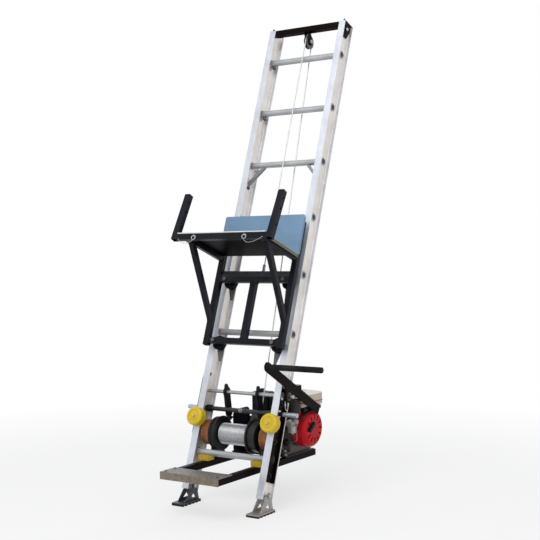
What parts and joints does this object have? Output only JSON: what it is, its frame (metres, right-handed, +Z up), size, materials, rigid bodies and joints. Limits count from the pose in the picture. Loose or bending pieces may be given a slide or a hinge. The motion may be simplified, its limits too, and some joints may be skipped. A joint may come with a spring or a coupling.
{
  "type": "material hoist",
  "caption": "Leaning ladder hoist: a roller carriage with a load platform climbs aluminium rails, drawn by wire rope from an engine winch on the base.",
  "frame": {"origin": "the ground straight below the middle of the bottom rung", "axes": "+X to the operator's right, +Y away from the operator towards the building, +Z up"},
  "size_m": [0.867, 1.1918, 2.4478],
  "materials": {
    "rail_aluminium": "satin",
    "black_paint": "gloss",
    "zinc": "satin",
    "deck_sheet": "satin",
    "back_sheet": "satin",
    "rubber": "matte",
    "yellow_paint": "gloss",
    "saddle_paint": "satin",
    "rope_wire": "satin",
    "friction_lining": "matte",
    "tread_steel": "satin",
    "cast_metal": "satin",
    "engine_alloy": "satin",
    "red_paint": "gloss",
    "cream_paint": "gloss",
    "black_plastic": "matte"
  },
  "bodies": {
    "ladder": {"left_rail": "rail_aluminium", "right_rail": "rail_aluminium", "rungs": "rail_aluminium", "knee_braces": "rail_aluminium", "pivot_bolts": "zinc", "head_beam": "black_paint", "head_plates": "black_paint", "front_rope": "rope_wire", "back_rope": "rope_wire", "bearing_stands": "black_paint", "base_arms": "black_paint", "tread_plate": "tread_steel", "rung_saddles": "saddle_paint", "uprights": "black_paint", "belt_guard": "black_paint", "carry_bar": "black_paint", "bumpers": "yellow_paint", "engine_plate": "black_paint", "crankcase": "cast_metal", "cylinder": "engine_alloy", "air_cleaner": "black_plastic", "muffler": "cast_metal", "fan_housing": "red_paint", "fuel_tank": "cream_paint", "drive_belt": "rubber"},
    "left_foot": {"left_shoe": "zinc", "left_sole": "rubber"},
    "right_foot": {"right_shoe": "zinc", "right_sole": "rubber"},
    "carriage": {"side_tubes": "black_paint", "upper_crossbeam": "black_paint", "lower_crossbeam": "black_paint", "centre_bar": "black_paint", "braces": "black_paint", "front_beam": "black_paint", "side_beams": "black_paint", "deck": "deck_sheet", "back_plate": "back_sheet", "posts": "black_paint", "post_pins": "zinc", "wheel_tabs": "zinc", "wheel_bolts": "zinc", "rope_anchor": "zinc"},
    "wheel_upper_left": {"wheel_upper_left": "black_plastic"},
    "wheel_upper_right": {"wheel_upper_right": "black_plastic"},
    "wheel_lower_left": {"wheel_lower_left": "black_plastic"},
    "wheel_lower_right": {"wheel_lower_right": "black_plastic"},
    "winch_drum": {"drum": "black_paint", "drum_shaft": "zinc", "drum_pulley": "black_paint", "friction_discs": "friction_lining", "rope_winding": "rope_wire"},
    "head_sheave": {"sheave": "zinc"},
    "control_lever": {"lever_shaft": "zinc", "lever": "black_paint", "handle_grip": "rubber", "brake_arms": "black_paint"},
    "engine_pulley": {"engine_pulley": "zinc"},
    "tank_cap": {"fuel_cap": "black_plastic"},
    "starter": {"starter_grip": "black_plastic"}
  },
  "joints": [
    {"name": "carriage_slide", "type": "slide", "parent": "ladder", "child": "carriage", "axis": [0, 0.3338, 0.9426], "range_m": [-0.3, 1.1], "deforming": ["front_rope"]},
    {"name": "sheave_spin", "type": "hinge", "parent": "ladder", "child": "head_sheave", "pos_m": [0, 0.74773, 2.35152], "axis": [1, 0, 0], "continuous": true},
    {"name": "drum_spin", "type": "hinge", "parent": "ladder", "child": "winch_drum", "pos_m": [0, 0.06, 0.329], "axis": [1, 0, 0], "continuous": true},
    {"name": "engine_pulley_spin", "type": "hinge", "parent": "ladder", "child": "engine_pulley", "pos_m": [0, 0.356, 0.336], "axis": [1, 0, 0], "continuous": true},
    {"name": "lever_hinge", "type": "hinge", "parent": "ladder", "child": "control_lever", "pos_m": [0, 0.10181, 0.52751], "axis": [1, 0, 0], "range_deg": [0, 14]},
    {"name": "left_shoe_swing", "type": "hinge", "parent": "ladder", "child": "left_foot", "pos_m": [-0.217, -0.05608, 0.08164], "axis": [1, 0, 0], "range_deg": [-30, 30]},
    {"name": "right_shoe_swing", "type": "hinge", "parent": "ladder", "child": "right_foot", "pos_m": [0.217, -0.05608, 0.08164], "axis": [1, 0, 0], "range_deg": [-30, 30]},
    {"name": "fuel_cap_turn", "type": "hinge", "parent": "ladder", "child": "tank_cap", "pos_m": [0.138, 0.356, 0.526], "axis": [0, 0, 1], "range_deg": [0, 90]},
    {"name": "starter_pull", "type": "slide", "parent": "ladder", "child": "starter", "axis": [1, 0, 0], "range_m": [0, 0.08], "stiffness_N_per_m": 120},
    {"name": "wheel_upper_left_spin", "type": "hinge", "parent": "carriage", "child": "wheel_upper_left", "pos_m": [-0.1746, 0.24748, 1.06469], "axis": [0, 0.9426, -0.3338], "continuous": true},
    {"name": "wheel_upper_right_spin", "type": "hinge", "parent": "carriage", "child": "wheel_upper_right", "pos_m": [0.1746, 0.24748, 1.06469], "axis": [0, 0.9426, -0.3338], "continuous": true},
    {"name": "wheel_lower_left_spin", "type": "hinge", "parent": "carriage", "child": "wheel_lower_left", "pos_m": [-0.1746, 0.141, 0.76399], "axis": [0, 0.9426, -0.3338], "continuous": true},
    {"name": "wheel_lower_right_spin", "type": "hinge", "parent": "carriage", "child": "wheel_lower_right", "pos_m": [0.1746, 0.141, 0.76399], "axis": [0, 0.9426, -0.3338], "continuous": true}
  ],
  "couplings": [
    {"joint": "sheave_spin", "follows": "carriage_slide", "rad_per_m": -33.333},
    {"joint": "drum_spin", "follows": "carriage_slide", "rad_per_m": -20.534},
    {"joint": "engine_pulley_spin", "follows": "carriage_slide", "rad_per_m": -49.216},
    {"joint": "wheel_upper_left_spin", "follows": "carriage_slide", "rad_per_m": -41.667},
    {"joint": "wheel_upper_right_spin", "follows": "carriage_slide", "rad_per_m": 41.667},
    {"joint": "wheel_lower_left_spin", "follows": "carriage_slide", "rad_per_m": -41.667},
    {"joint": "wheel_lower_right_spin", "follows": "carriage_slide", "rad_per_m": 41.667}
  ]
}
